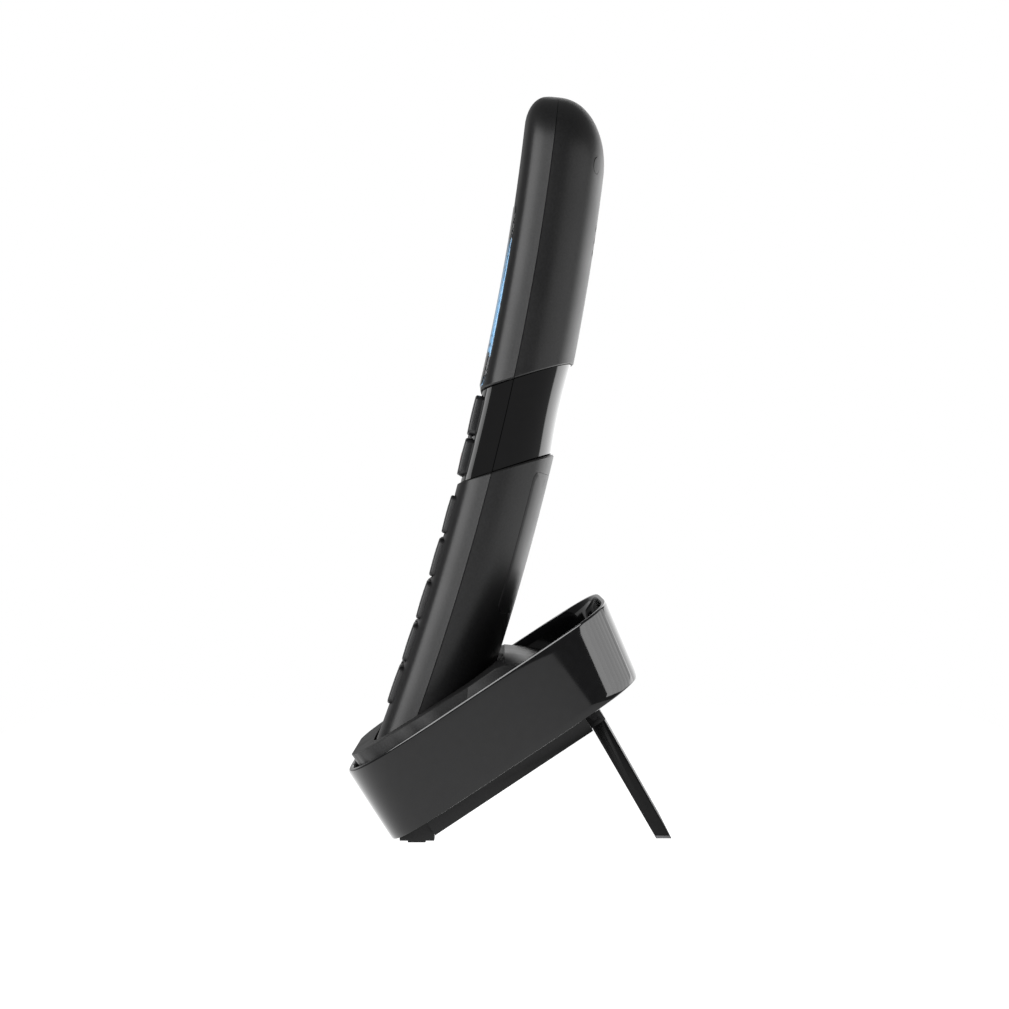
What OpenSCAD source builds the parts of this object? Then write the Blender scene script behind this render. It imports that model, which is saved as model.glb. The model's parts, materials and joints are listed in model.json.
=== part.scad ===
// Cordless telephone handset standing in its tilted charging base.
// Millimetres. +Z up, keypad side towards -Y, origin under the middle of the footprint.

/* [Handset] */
// Radius of the arc that the handset is bent to, at the seam between its two shells
seam_r = 615; // [560:5:700]
// Length of the handset along that arc
hand_len = 164; // [160:1:168]
// Width of the handset at the seam
hand_w = 48; // [47:0.5:50]
// Depth of the front shell, from the seam to the crown of the face
front_depth = 7.3; // [7.2:0.1:7.6]
// Depth of the rear shell, from the seam to the middle of the back
back_depth = 13.8; // [13.6:0.1:14]
// Wall of both shells
shell_t = 1.5; // [1.3:0.1:1.6]
// How far the waist band lies below the shells
band_recess = 0.6; // [0.4:0.1:0.7]

/* [Keypad] */
// Width of a digit key
key_w = 11.4; // [10:0.2:12]
// Length of a digit key
key_l = 9.1; // [8:0.1:9.4]
// Distance between key columns
key_pitch = 13.2; // [12.8:0.1:13.6]
// Angle along the arc between key rows
row_step = 0.98; // [0.94:0.01:1]
// Travel of a key
key_travel = 0.6; // [0.4:0.1:0.6]

/* [Base] */
// Tilt of the base rim from level
base_tilt = 33.5; // [33:0.1:34]
// Half width of the ring at its rim
ring_half_w = 40; // [39:0.5:41]
// Depth of the ring, from rim to bottom edge
ring_h = 18.4; // [18:0.1:18.5]
// Wall of the ring
ring_t = 1.4; // [1.2:0.1:1.6]
// Clear space round the handset in its pocket
pocket_gap = 0.6; // [0.5:0.1:0.8]

/* [Leg] */
// Half width of the support leg
leg_half_w = 21; // [18:0.5:21]
// Angle of the leg from straight down
leg_lean = 29.8; // [29:0.1:30.5]
// Radius of the leg's hinge pin
pin_r = 0.8; // [0.6:0.1:0.9]

/* [Hidden] */
$fn = 48;

// --- handset arc: centre, end angles and section exponents
arc_y = -599.6;
arc_z = 236;
deg_per_mm = 180 / PI / seam_r;
top_angle = -5.77;
bottom_angle = top_angle - hand_len * deg_per_mm;
half_w = hand_w / 2;
front_r = seam_r - front_depth;
back_r = seam_r + back_depth;
front_power = 4.6;
back_power = 2.3;
sweep_over = 1;
far = 60;
wide = 40;

// --- roundings of the handset's ends: radial and axial reach in the side view
top_front_round = [6, 8];
top_back_round = [13, 14];
bottom_round = [3.5, 3.5];
// axial reach and power of each end's outline in the front view
top_end = [16, 2.5];
bottom_end = [9, 3.4];
// the outlines start this far outside the sides, so that they cut them cleanly
outline_spare = 0.15;

// --- waist band: two planes that rise towards the back
band_slope = 16;
band_top = [1.9, 106.4];
band_bottom = [-3.3, 84.6];
band_t = 0.75;
neck_t = 1.1;
neck_lap = 2;

// --- keys
first_row = -15.37;
key_rows = 5;
key_r = 1.6;
key_gap = 0.25;
key_front = front_r - 0.85;
key_back = 610.6;
mat_r = [611.3, 612.1];
mat_half_w = 19;
band_row_upper = -13.12;
band_row_lower = -14.06;
band_key_l = [9.4, 8.9];
rocker_angle = -13.59;
rocker_l = 18.7;
rocker_w = 12;
rocker_pivot_r = 609;

// --- display and sound
lens_mid = -10.42;
lens_half_l = 21.4;
lens_half_w = 19.5;
lens_proud = 0.4;
ear_angle = -6.98;
ear_slot = [12, 2.2];
speaker_angle = -8.8;
mic_angle = -20.45;

// --- battery
door_angle = -15.55;
door_half = [18, 17];
door_gap = 0.2;
cell_r = 5.1;
cell_len = 30;
cell_mid_r = 620.35;

// --- handset screws, charge pads
screw_x = 15;
screw_angles = [-7.3, -20.4];
screw_shank_r = 0.9;
screw_head_r = 1.9;
pad_x = 8;
pad_size = [4, 5, 0.6];
pad_mid_r = 618.5;

// --- base frame: a point on the rim plane, with y along the rim and z along its normal
rim_y = -7.8;
rim_z = 34.7;
ring_front = -35.7;
ring_back = 37.1;
ring_foot_front = -35.2;
ring_foot_back = 33.7;
ring_foot_half_w = 38.2;
rim_chamfer = 0.6;
rim_front_power = 3.6;
foot_front_power = 5;
back_plan_power = 5;

// --- cradle
insert_front = -33;
insert_back = 33.2;
insert_half_w = 36;
insert_t = 1.6;
insert_skirt = -9;
well_floor = -6;
insert_top = [[-33, 2], [-32.4, 2.6], [-15, 2.2], [0, 1.8], [7.3, 1.9], [9.6, 1.4],
              [14.2, -2.4], [17.5, well_floor], [33.2, well_floor]];
lift_angle = bottom_angle + 15 * deg_per_mm;
floor_gap = 0.3;
cup_t = 1.4;
contact_x = pad_x;
contact_w = 3;
contact_gap = 0.1;

// --- bottom cover, leg and feet
cover_h = [-18.4, -16.9];
tray_front = -25;
tray_back = 17.9;
tray_half_w = 30.5;
tray_low = -22.4;
tray_floor_t = 1.4;
leg_well = [-14.8, 22, -18.2];
hinge_s = 19.7;
hinge_h = -20.5;
hinge_r = 1.7;
lug_in = leg_half_w + 0.4;
lug_out = lug_in + 3.1;
pin_bore_gap = 0.04;
foot_x = [19.5, 28];
foot_y = [-24.5, -16.6];
foot_z = 0.6;
foot_pad_x = [20.8, 26.8];
foot_pad_y = [-22.7, -18.6];
leg_pad_t = 0.7;

// --- base electronics
board_h = [-14.6, -13.4];
socket_s = [22.2, 31.2];
socket_top = -8;
socket_wall = 1;
line_half_w = 4.85;
power_half_w = 4.85;
socket_x = 13;
page_s = 25.5;
page_r = 4.5;
page_gap = 0.3;
page_travel = 0.8;
base_screw_at = [[27, -10], [27, 24]];

// ---------------------------------------------------------------- frames and sweeps
// y becomes the radius from the arc's centre and z runs up along the handset
module at_arc(angle) translate([0, arc_y, arc_z]) rotate([angle, 0, 0]) children();
// y runs up along the rim and z stands square to it
module base_frame() translate([0, rim_y, rim_z]) rotate([base_tilt, 0, 0]) children();
// An outline in x and z, as thick as from y0 to y1
module slab(y0, y1) translate([0, y1, 0]) rotate([90, 0, 0]) linear_extrude(y1 - y0) children();
// An outline in y and z, from -half to +half in x
module across(half) rotate([90, 0, 90]) linear_extrude(2 * half, center = true) children();
// A section in radius and x, swept along the handset's arc
module sweep(from, to)
    translate([0, arc_y, arc_z]) rotate([90, 0, 90]) rotate([0, 0, from])
        rotate_extrude(angle = to - from) children();

module round_rect(w, h, r) {
    square([w - 2 * r, h], center = true);
    square([w, h - 2 * r], center = true);
    for (i = [-1, 1], j = [-1, 1]) translate([i * (w / 2 - r), j * (h / 2 - r)]) circle(r);
}

// ---------------------------------------------------------------- handset body
function half_section(side, d) =
    let (power = side > 0 ? back_power : front_power,
         depth = (side > 0 ? back_depth : front_depth) - d)
    [for (t = [0:7.5:180])
        [seam_r + side * depth * pow(max(sin(t), 0), 2 / power),
         (half_w - d) * sign(cos(t)) * pow(abs(cos(t)), 2 / power)]];
function past_seam(side, d) =
    [[seam_r - side, -half_w + d], [seam_r - side, half_w - d]];

function quarter(c, r, from, to) =
    [for (i = [0:6]) let (a = from + (to - from) * i / 6) [c[0] + r[0] * cos(a), c[1] + r[1] * sin(a)]];

// Side profile of an end, in radius and axial distance: the end face is at z = 0
function end_profile(front, back, d, s) = concat(
    [[front_r - far, s * 4 * far], [front_r - far, s * front[1]]],
    quarter([front_r + front[0], s * front[1]], [front[0] - d, s * (d - front[1])], 180, 90),
    quarter([back_r - back[0], s * back[1]], [back[0] - d, s * (d - back[1])], 90, 0),
    [[back_r + far, s * back[1]], [back_r + far, s * 4 * far]]);
// Front outline of an end, in x and axial distance: a half superellipse across the whole width
function end_outline(end, d, s) = concat(
    [[-wide, s * 4 * far], [-wide, s * end[0]]],
    [for (t = [180:-10:0])
        [(half_w - d + outline_spare) * sign(cos(t)) * pow(abs(cos(t)), 2 / end[1]),
         s * (end[0] - (end[0] - d) * pow(max(sin(t), 0), 2 / end[1]))]],
    [[wide, s * end[0]], [wide, s * 4 * far]]);

// One half of the handset's solid body, d inside its outer surface: side is 1 behind the seam
module half_body(side, d, cut = false) intersection() {
    sweep(bottom_angle - sweep_over, top_angle + sweep_over)
        polygon(cut ? concat(half_section(side, d), past_seam(side, d)) : half_section(side, d));
    at_arc(top_angle) across(wide) polygon(end_profile(top_front_round, top_back_round, d, -1));
    at_arc(top_angle) slab(front_r - far, back_r + far) polygon(end_outline(top_end, d, -1));
    at_arc(bottom_angle) across(wide) polygon(end_profile(bottom_round, bottom_round, d, 1));
    at_arc(bottom_angle) slab(front_r - far, back_r + far) polygon(end_outline(bottom_end, d, 1));
}

// The slice of space that the waist band takes, grown at both edges
module band_zone(grow) across(wide) {
    rise = tan(band_slope);
    polygon([
        [-far, band_top[1] - (far + band_top[0]) * rise + grow],
        [far, band_top[1] + (far - band_top[0]) * rise + grow],
        [far, band_bottom[1] + (far - band_bottom[0]) * rise - grow],
        [-far, band_bottom[1] - (far + band_bottom[0]) * rise - grow]]);
}

// A skin between two depths below the outer surface
module half_skin(side, outer, inner) difference() {
    half_body(side, outer);
    half_body(side, inner, true);
}

// A shell: the outer skin with a lowered neck under the waist band
module shell_skin(side) {
    difference() {
        half_skin(side, 0, shell_t);
        band_zone(0);
    }
    intersection() {
        half_skin(side, shell_t - 0.1, shell_t - 0.1 + neck_t);
        band_zone(neck_lap);
    }
}

// ---------------------------------------------------------------- keys
module key_plug(angle, x, w, l, grow) at_arc(angle) translate([x, 0, 0])
    slab(grow > 0 ? front_r - 4 : key_front, grow > 0 ? key_back + 3 : key_back)
        round_rect(w + 2 * grow, l + 2 * grow, key_r + grow);
module digit_key(row, column) color("#26272a")
    key_plug(first_row - row * row_step, column * key_pitch, key_w, key_l, 0);
module band_key(upper, column) color("#1b1c1e")
    key_plug(upper ? band_row_upper : band_row_lower, column * key_pitch, key_w,
             band_key_l[upper ? 0 : 1], 0);
module key_holes() {
    for (row = [0:key_rows - 1], column = [-1:1])
        key_plug(first_row - row * row_step, column * key_pitch, key_w, key_l, key_gap);
    band_key_holes();
}
module band_key_holes() {
    for (column = [-1, 1]) {
        key_plug(band_row_upper, column * key_pitch, key_w, band_key_l[0], key_gap);
        key_plug(band_row_lower, column * key_pitch, key_w, band_key_l[1], key_gap);
    }
    key_plug(rocker_angle, 0, rocker_w, rocker_l, 2 * key_gap);
}

module scroll_rocker() color("#1b1c1e") key_plug(rocker_angle, 0, rocker_w, rocker_l, 0);

// ---------------------------------------------------------------- shells and band
module screw_holes(r, y0, y1) for (angle = screw_angles, x = [-screw_x, screw_x])
    at_arc(angle) translate([x, 0, 0]) slab(y0, y1) circle(r);

module front_shell() color("#2a2a2c") difference() {
    union() {
        shell_skin(-1);
        intersection() {
            screw_holes(2.4, front_r, seam_r + 3);
            union() {
                half_body(-1, 0.5);
                sweep(bottom_angle, top_angle) translate([seam_r - 0.5, -half_w]) square([4, hand_w]);
            }
        }
    }
    key_holes();
    screw_holes(screw_shank_r, seam_r - 4, seam_r + 4);
    at_arc(lens_mid) slab(front_r - 4, front_r + 2.5)
        round_rect(2 * (lens_half_w + 0.1), 2 * (lens_half_l + 0.1), 3.1);
    at_arc(ear_angle) slab(front_r - 4, front_r + 4) round_rect(ear_slot[0], ear_slot[1], 1.05);
    at_arc(mic_angle) slab(front_r - 4, front_r + 4) circle(0.6);
}

module rear_shell() color("#242426") difference() {
    shell_skin(1);
    at_arc(door_angle) slab(seam_r + 2, back_r + 9)
        round_rect(2 * (door_half[0] + door_gap), 2 * (door_half[1] + door_gap), 2.2);
    screw_holes(screw_shank_r + 0.2, seam_r, back_r + 4);
    screw_holes(screw_head_r + 0.2, seam_r + 6.5, back_r + 4);
    for (i = [-2:2], j = [-1:1])
        at_arc(speaker_angle) translate([i * 3, 0, j * 3]) slab(back_r - 6, back_r + 4) circle(0.7);
    at_arc(bottom_angle) for (x = [-pad_x, pad_x])
        translate([x - pad_size[0] / 2, pad_mid_r - pad_size[1] / 2, -2]) cube([pad_size[0], pad_size[1], 5]);
}

module band_half(side) intersection() {
    half_skin(side, band_recess, band_recess + band_t);
    band_zone(-0.15);
}
module waist_band_front() color("#101012") difference() {
    band_half(-1);
    band_key_holes();
}
module waist_band_rear() color("#101012") band_half(1);

// ---------------------------------------------------------------- handset insides
module display_lens() color("#9fc4dc", 0.5) intersection() {
    half_skin(-1, -lens_proud, 1);
    at_arc(lens_mid) slab(front_r - 4, front_r + 4) round_rect(2 * lens_half_w, 2 * lens_half_l, 3);
}
module display_module() color("#5aa9e6") at_arc(lens_mid) translate([-17.4, 609.3, -19.5]) cube([34.8, 2.6, 39]);
module display_board() color("#2f6b3c") at_arc(lens_mid) translate([-19, 612.2, -23]) cube([38, 1, 47]);
module board_ribbon() color("#c58b3a") sweep(-13.2, -12.3) translate([614.65, -6]) square([0.2, 12]);
module keypad_board() color("#2f6b3c") at_arc(-16.4) difference() {
    translate([-19, 612.3, -38]) cube([38, 1, 76]);
    translate([-screw_x, 0, -39.5]) slab(600, 630) circle(3);
    translate([screw_x, 0, -39.5]) slab(600, 630) circle(3);
}
module keypad_mat() color("#d9dadb") sweep(-19.85, -12.62)
    translate([mat_r[0], -mat_half_w]) square([mat_r[1] - mat_r[0], 2 * mat_half_w]);
module earpiece_grille() color("#55565a") at_arc(ear_angle)
    slab(front_r + 0.5, front_r + 1.3) round_rect(ear_slot[0], ear_slot[1], 1.05);
module earpiece_speaker() color("#8a8c90") at_arc(ear_angle) slab(609.4, 612.6) circle(6.5);
module loudspeaker() color("#8a8c90") at_arc(speaker_angle) slab(620, 624) circle(9);
module microphone() color("#b9a15a") at_arc(mic_angle) slab(609.4, 611) circle(2);

module battery_tray() color("#3a3b3e") at_arc(door_angle) difference() {
    translate([-17.2, 614.6, -16.6]) cube([34.4, 6, 33.2]);
    translate([-16.4, 615.1, -15.8]) cube([32.8, 9, 31.6]);
}
module battery_pack() color("#3f8f5b") at_arc(door_angle) {
    for (i = [-1:1]) translate([2 * i * cell_r, cell_mid_r, -cell_len / 2]) cylinder(h = cell_len, r = cell_r);
    translate([-2 * cell_r, cell_mid_r - cell_r, -cell_len / 2]) cube([4 * cell_r, 2 * cell_r, cell_len]);
}
module battery_door() color("#242426") intersection() {
    half_skin(1, 0, shell_t);
    at_arc(door_angle) slab(seam_r + 4, back_r + 9) round_rect(2 * door_half[0], 2 * door_half[1], 2);
}
module handset_charge_pads() color("#c9a227") at_arc(bottom_angle) for (x = [-pad_x, pad_x])
    translate([x - pad_size[0] / 2, pad_mid_r - pad_size[1] / 2, 0]) cube(pad_size);
module handset_screws() color("#9a9a9c") {
    screw_holes(screw_shank_r, seam_r - 3, seam_r + 7);
    screw_holes(screw_head_r, seam_r + 6.5, seam_r + 8);
}

// ---------------------------------------------------------------- base outlines
// Plan of the base in x and y: two half superellipses with different powers
function plan(front, back, half, front_plan_power) =
    let (mid = (front + back) / 2, reach = (back - front) / 2)
    [for (t = [0:5:355])
        let (p = sin(t) < 0 ? front_plan_power : back_plan_power)
        [half * sign(cos(t)) * pow(abs(cos(t)), 2 / p),
         mid + reach * sign(sin(t)) * pow(abs(sin(t)), 2 / p)]];

module ring_slice(h, inset) {
    f = -h / ring_h;
    translate([0, 0, h]) linear_extrude(0.01) polygon(plan(
        ring_front + f * (ring_foot_front - ring_front) + inset,
        ring_back + f * (ring_foot_back - ring_back) - inset,
        ring_half_w + f * (ring_foot_half_w - ring_half_w) - inset,
        rim_front_power + f * (foot_front_power - rim_front_power)));
}
module base_ring() color("#0e0e10") base_frame() difference() {
    hull() {
        ring_slice(-0.01, rim_chamfer);
        ring_slice(-rim_chamfer, 0);
        ring_slice(-ring_h, 0);
    }
    hull() {
        ring_slice(1, ring_t);
        ring_slice(-ring_h - 1, ring_t);
    }
}

// ---------------------------------------------------------------- cradle
module insert_column(inset, low) translate([0, 0, low]) linear_extrude(far)
    polygon(plan(insert_front + inset, insert_back - inset, insert_half_w - inset, rim_front_power));
module under_top(drop, low) translate([0, 0, -drop]) across(wide)
    polygon(concat([[insert_front, low]], insert_top, [[insert_back, low]]));

// The handset's foot section, grown all round and drawn out along the way it lifts
module lift_prism(grow) at_arc(lift_angle) translate([0, 0, -far / 2]) linear_extrude(2 * far) {
    foot_section(-1, grow);
    foot_section(1, grow);
}
module foot_section(side, grow) polygon([for (p = half_section(side, -grow)) [p[1], p[0]]]);
// Everything above a plane parallel to the handset's end face
module above_foot(z) at_arc(bottom_angle) translate([-wide, front_r - far, z]) cube([2 * wide, 2 * far, 2 * far]);

module cradle_insert() color("#3a3a3d") difference() {
    union() {
        base_frame() difference() {
            intersection() {
                insert_column(0, insert_skirt);
                under_top(0, insert_skirt);
            }
            intersection() {
                insert_column(insert_t, insert_skirt - 1);
                under_top(insert_t, insert_skirt - 2);
            }
        }
        intersection() {
            lift_prism(pocket_gap + cup_t);
            above_foot(-floor_gap - cup_t);
            base_frame() intersection() {
                insert_column(0, -far / 2);
                under_top(0, -far / 2);
            }
        }
        base_frame() for (p = base_screw_at, x = [-p[0], p[0]])
            translate([x, p[1], cover_h[1]]) cylinder(h = -cover_h[1] + (p[1] > 0 ? well_floor - 1 : 0.5), r = 2.6);
    }
    intersection() {
        lift_prism(pocket_gap);
        above_foot(-floor_gap);
    }
    at_arc(bottom_angle) for (x = [-contact_x, contact_x])
        translate([x - contact_w / 2 - 0.4, pad_mid_r - 1.4, -far]) cube([contact_w + 0.8, 2.8, far]);
    base_frame() {
        translate([0, page_s, well_floor - 4]) cylinder(h = 8, r = page_r + page_gap);
        for (p = base_screw_at, x = [-p[0], p[0]])
            translate([x, p[1], cover_h[1] - 1]) cylinder(h = 8, r = 1.1);
    }
}

// Sprung contact: a nose that meets the pad, on a foot that bears on the block below
module charge_contact(x) color("#c9a227") at_arc(bottom_angle) translate([x, pad_mid_r, 0]) {
    translate([-contact_w / 2, -1, -4.6]) cube([contact_w, 2, 4.6 - contact_gap]);
    translate([-contact_w / 2, -3, -5.4]) cube([contact_w, 6, 0.8]);
}
module contact_block() color("#202124") at_arc(bottom_angle) {
    translate([-14, pad_mid_r - 3.3, -8]) cube([28, 6.8, 1.4]);
    for (x = [-14, 11.5]) translate([x, pad_mid_r - 3.3, -8]) cube([2.5, 6.8, 8 - floor_gap - cup_t]);
}

// ---------------------------------------------------------------- under the base
module box_between(x, y, z) translate([x[0], y[0], z[0]]) cube([x[1] - x[0], y[1] - y[0], z[1] - z[0]]);

module foot_block(x0, x1) intersection() {
    box_between([x0, x1], foot_y, [foot_z, 12]);
    base_frame() box_between([-wide, wide], [-far, far], [-far, cover_h[0] + 0.5]);
}
module bottom_cover() color("#161618") difference() {
    union() {
        base_frame() {
            translate([0, 0, cover_h[0]]) linear_extrude(cover_h[1] - cover_h[0])
                polygon(plan(ring_foot_front + ring_t + 0.3, ring_foot_back - ring_t - 0.3,
                             ring_foot_half_w - ring_t - 0.3, foot_front_power));
            box_between([-tray_half_w, tray_half_w], [tray_front, tray_back], [tray_low, cover_h[0] + 0.5]);
            for (x = [-lug_out, lug_in])
                box_between([x, x + lug_out - lug_in], [tray_back - 2, hinge_s + 1.9], [hinge_h - 1.9, cover_h[0] + 0.5]);
        }
        for (x = [-foot_x[1], foot_x[0]]) foot_block(x, x + foot_x[1] - foot_x[0]);
    }
    base_frame() {
        // room for the pocket's lowest corner
        box_between([-28, 28], [tray_front + 1.5, leg_well[0] - 1.5], [tray_low + tray_floor_t, 0]);
        box_between([-18, 18], [leg_well[0] - 2, leg_well[0] + 2.4], [cover_h[0] - 1.5, 0]);
        // well that the folded leg lies in
        box_between([-lug_in, lug_in], [leg_well[0], leg_well[1]], [-far, leg_well[2]]);
        translate([0, hinge_s, hinge_h]) rotate([0, 90, 0]) cylinder(h = 2 * wide, r = pin_r, center = true);
        for (p = base_screw_at, x = [-p[0], p[0]]) translate([x, p[1], 0]) {
            translate([0, 0, -far / 2]) cylinder(h = far / 2, r = 1.3);
            translate([0, 0, -far / 2]) cylinder(h = far / 2 + (p[1] > 0 ? cover_h[0] + 0.6 : tray_low + 3.4), r = 2.3);
        }
        for (s = [[-socket_x, power_half_w], [socket_x, line_half_w]])
            box_between([s[0] - s[1], s[0] + s[1]], [socket_s[0] + socket_wall, socket_s[1] - socket_wall], [-25, -10]);
    }
}
module socket(x, half) base_frame() difference() {
    box_between([x - half - socket_wall, x + half + socket_wall], socket_s, [cover_h[1], socket_top]);
    box_between([x - half, x + half], [socket_s[0] + socket_wall, socket_s[1] - socket_wall],
                [cover_h[1] - 1, socket_top - socket_wall]);
}
module power_socket() color("#2b2b2e") socket(-socket_x, power_half_w);
module line_socket() color("#2b2b2e") socket(socket_x, line_half_w);

module base_board() color("#2f6b3c") base_frame() {
    box_between([-24, 24], [-5, 21.6], board_h);
    box_between([-6, 6], [21, 30], board_h);
}
module page_key() color("#3a3a3d") base_frame() translate([0, page_s, 0]) {
    translate([0, 0, well_floor - 2.2]) cylinder(h = 3, r = page_r);
    translate([0, 0, board_h[1] + 2.6]) cylinder(h = well_floor - 2 - board_h[1] - 2.6, r = 1.2);
}
module page_switch() color("#9a9a9c") base_frame() translate([-3, page_s - 3, board_h[1]]) cube([6, 6, 1.7]);
module base_screws() color("#9a9a9c") base_frame() for (p = base_screw_at, x = [-p[0], p[0]]) {
    seat = p[1] > 0 ? cover_h[0] + 0.6 : tray_low + 3.4;
    translate([x, p[1], seat - 1.3]) cylinder(h = 1.3, r = 2.1);
    translate([x, p[1], seat - 1]) cylinder(h = cover_h[1] + 5 - seat, r = 1.1);
}
module front_foot_pads() color("#303030") for (x = [-foot_pad_x[1], foot_pad_x[0]])
    box_between([x, x + foot_pad_x[1] - foot_pad_x[0]], foot_pad_y, [0, foot_z]);

// ---------------------------------------------------------------- leg
module leg_frame() base_frame() translate([0, hinge_s, hinge_h]) rotate([leg_lean - base_tilt, 0, 0]) children();
module leg_blade() {
    leg_frame() difference() {
        union() {
            across(leg_half_w) polygon([[-hinge_r, 0], [hinge_r, 0], [1.5, -45], [-1.5, -45]]);
            rotate([0, 90, 0]) cylinder(h = 2 * leg_half_w, r = hinge_r, center = true);
        }
        rotate([0, 90, 0]) cylinder(h = 2 * wide, r = pin_r + pin_bore_gap, center = true);
    }
}
module support_leg() color("#141416") intersection() {
    leg_blade();
    box_between([-wide, wide], [-far, far], [leg_pad_t, far]);
}
module leg_foot_pad() color("#6e6f72") intersection() {
    leg_blade();
    box_between([-wide, wide], [-far, far], [0, leg_pad_t]);
}
module leg_hinge_pin() color("#b0b0b4") base_frame() translate([0, hinge_s, hinge_h])
    rotate([0, 90, 0]) cylinder(h = 2 * lug_out, r = pin_r, center = true);

// ---------------------------------------------------------------- key and contact nodes
module key_1() digit_key(0, -1);
module key_2() digit_key(0, 0);
module key_3() digit_key(0, 1);
module key_4() digit_key(1, -1);
module key_5() digit_key(1, 0);
module key_6() digit_key(1, 1);
module key_7() digit_key(2, -1);
module key_8() digit_key(2, 0);
module key_9() digit_key(2, 1);
module key_star() digit_key(3, -1);
module key_0() digit_key(3, 0);
module key_hash() digit_key(3, 1);
module key_menu() digit_key(4, -1);
module key_mute() digit_key(4, 0);
module key_speaker() digit_key(4, 1);
module soft_key_left() band_key(true, -1);
module soft_key_right() band_key(true, 1);
module talk_key() band_key(false, -1);
module end_key() band_key(false, 1);
module charge_contact_left() charge_contact(-contact_x);
module charge_contact_right() charge_contact(contact_x);

front_shell();
rear_shell();
waist_band_front();
waist_band_rear();
display_lens();
display_module();
display_board();
board_ribbon();
keypad_board();
keypad_mat();
earpiece_grille();
earpiece_speaker();
loudspeaker();
microphone();
battery_tray();
battery_pack();
battery_door();
handset_charge_pads();
handset_screws();
key_1();
key_2();
key_3();
key_4();
key_5();
key_6();
key_7();
key_8();
key_9();
key_star();
key_0();
key_hash();
key_menu();
key_mute();
key_speaker();
soft_key_left();
soft_key_right();
talk_key();
end_key();
scroll_rocker();
base_ring();
cradle_insert();
bottom_cover();
base_board();
contact_block();
charge_contact_left();
charge_contact_right();
page_key();
page_switch();
power_socket();
line_socket();
base_screws();
front_foot_pads();
leg_hinge_pin();
support_leg();
leg_foot_pad();
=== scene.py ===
"""Looks of the cordless phone standing in its charging base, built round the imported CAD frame.

Shapes are worked out in millimetres and stored in metres. Handset pieces are placed in the same
arc coordinates as the CAD source: an angle along the arc, a radius from its centre, and x across.
"""
import json
import math

import bmesh
import bpy
import numpy as np
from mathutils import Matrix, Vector

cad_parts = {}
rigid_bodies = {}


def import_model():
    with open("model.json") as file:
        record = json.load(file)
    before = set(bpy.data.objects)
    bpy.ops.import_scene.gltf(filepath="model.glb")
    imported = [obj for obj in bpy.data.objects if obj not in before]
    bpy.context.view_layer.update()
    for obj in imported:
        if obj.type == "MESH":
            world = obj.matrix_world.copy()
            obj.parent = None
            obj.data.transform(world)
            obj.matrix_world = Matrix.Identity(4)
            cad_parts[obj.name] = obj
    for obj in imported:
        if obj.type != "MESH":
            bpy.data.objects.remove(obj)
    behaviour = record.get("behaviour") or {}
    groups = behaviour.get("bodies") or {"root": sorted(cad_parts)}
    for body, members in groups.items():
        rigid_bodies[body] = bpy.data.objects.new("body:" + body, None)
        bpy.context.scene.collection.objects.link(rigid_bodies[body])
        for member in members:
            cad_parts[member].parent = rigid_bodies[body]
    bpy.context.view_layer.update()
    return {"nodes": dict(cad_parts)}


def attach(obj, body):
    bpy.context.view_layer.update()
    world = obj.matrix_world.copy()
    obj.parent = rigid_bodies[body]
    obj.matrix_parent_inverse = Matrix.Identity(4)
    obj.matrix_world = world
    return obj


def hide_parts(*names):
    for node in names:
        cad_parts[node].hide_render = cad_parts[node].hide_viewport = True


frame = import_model()

MM = 0.001
WELD_MM = 0.0005
INK_HALF = 0.03

# ------------------------------------------------------------------ sizes shared with the CAD source
ARC_Y, ARC_Z, SEAM_R = -599.6, 236.0, 615.0
TOP = math.radians(-5.773)
LENGTH = 164.0
BOTTOM = TOP - LENGTH / SEAM_R
HALF_W = 24.0
FRONT_DEPTH, BACK_DEPTH = 7.3, 13.8
BACK_TAPER = 1.0
FRONT_POWER, BACK_POWER = 4.6, 2.3
HEAD_REACH, HEAD_POWER = 16, 2.5
FOOT_REACH, FOOT_POWER = 9, 3.4
# depth lost at an end, and the length over which it is lost
FRONT_HEAD_ROUND, BACK_HEAD_ROUND, FOOT_ROUND = (6, 8), (12, 17), (3.5, 3.5)
SEAM_RIDGE, SEAM_GROOVE, RIDGE_SPREAD = 0.42, 0.16, 4
SHELL_T = 1.5
NECK_D = 1.45
FRONT_R = SEAM_R - FRONT_DEPTH
BAND_SLOPE = math.radians(16)
BAND_TOP, BAND_BOTTOM = (1.9, 106.4), (-3.3, 84.6)
BAND_RECESS, BAND_T = 0.6, 0.75
GROOVE_DIP = 0.5

TILT = math.radians(33.5)
RIM_Y, RIM_Z = -7.8, 34.7
RING = {"front": (-35.58, -35.08), "back": (37.1, 33.7), "half": (40.0, 38.2), "power": (3.6, 5.0)}
RING_BACK_POWER = 5.0
RING_H, RING_T = 18.4, 1.4


# ------------------------------------------------------------------ mesh tools
def piece(name, verts, faces, body, material, slot=None, replaces=(), sharp=32):
    """A closed mesh from points in millimetres, riding on a CAD body."""
    mesh = bpy.data.meshes.new(name)
    mesh.from_pydata([[c * MM for c in v] for v in verts], [], faces)
    tidy_mesh(mesh)
    return finish_piece(name, mesh, body, material, replaces, sharp)


def tidy_mesh(mesh):
    bm = bmesh.new()
    bm.from_mesh(mesh)
    bmesh.ops.remove_doubles(bm, verts=bm.verts, dist=WELD_MM * MM)
    bmesh.ops.dissolve_degenerate(bm, edges=bm.edges, dist=WELD_MM * MM * 0.5)
    bmesh.ops.recalc_face_normals(bm, faces=bm.faces)
    bm.to_mesh(mesh)
    bm.free()


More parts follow.
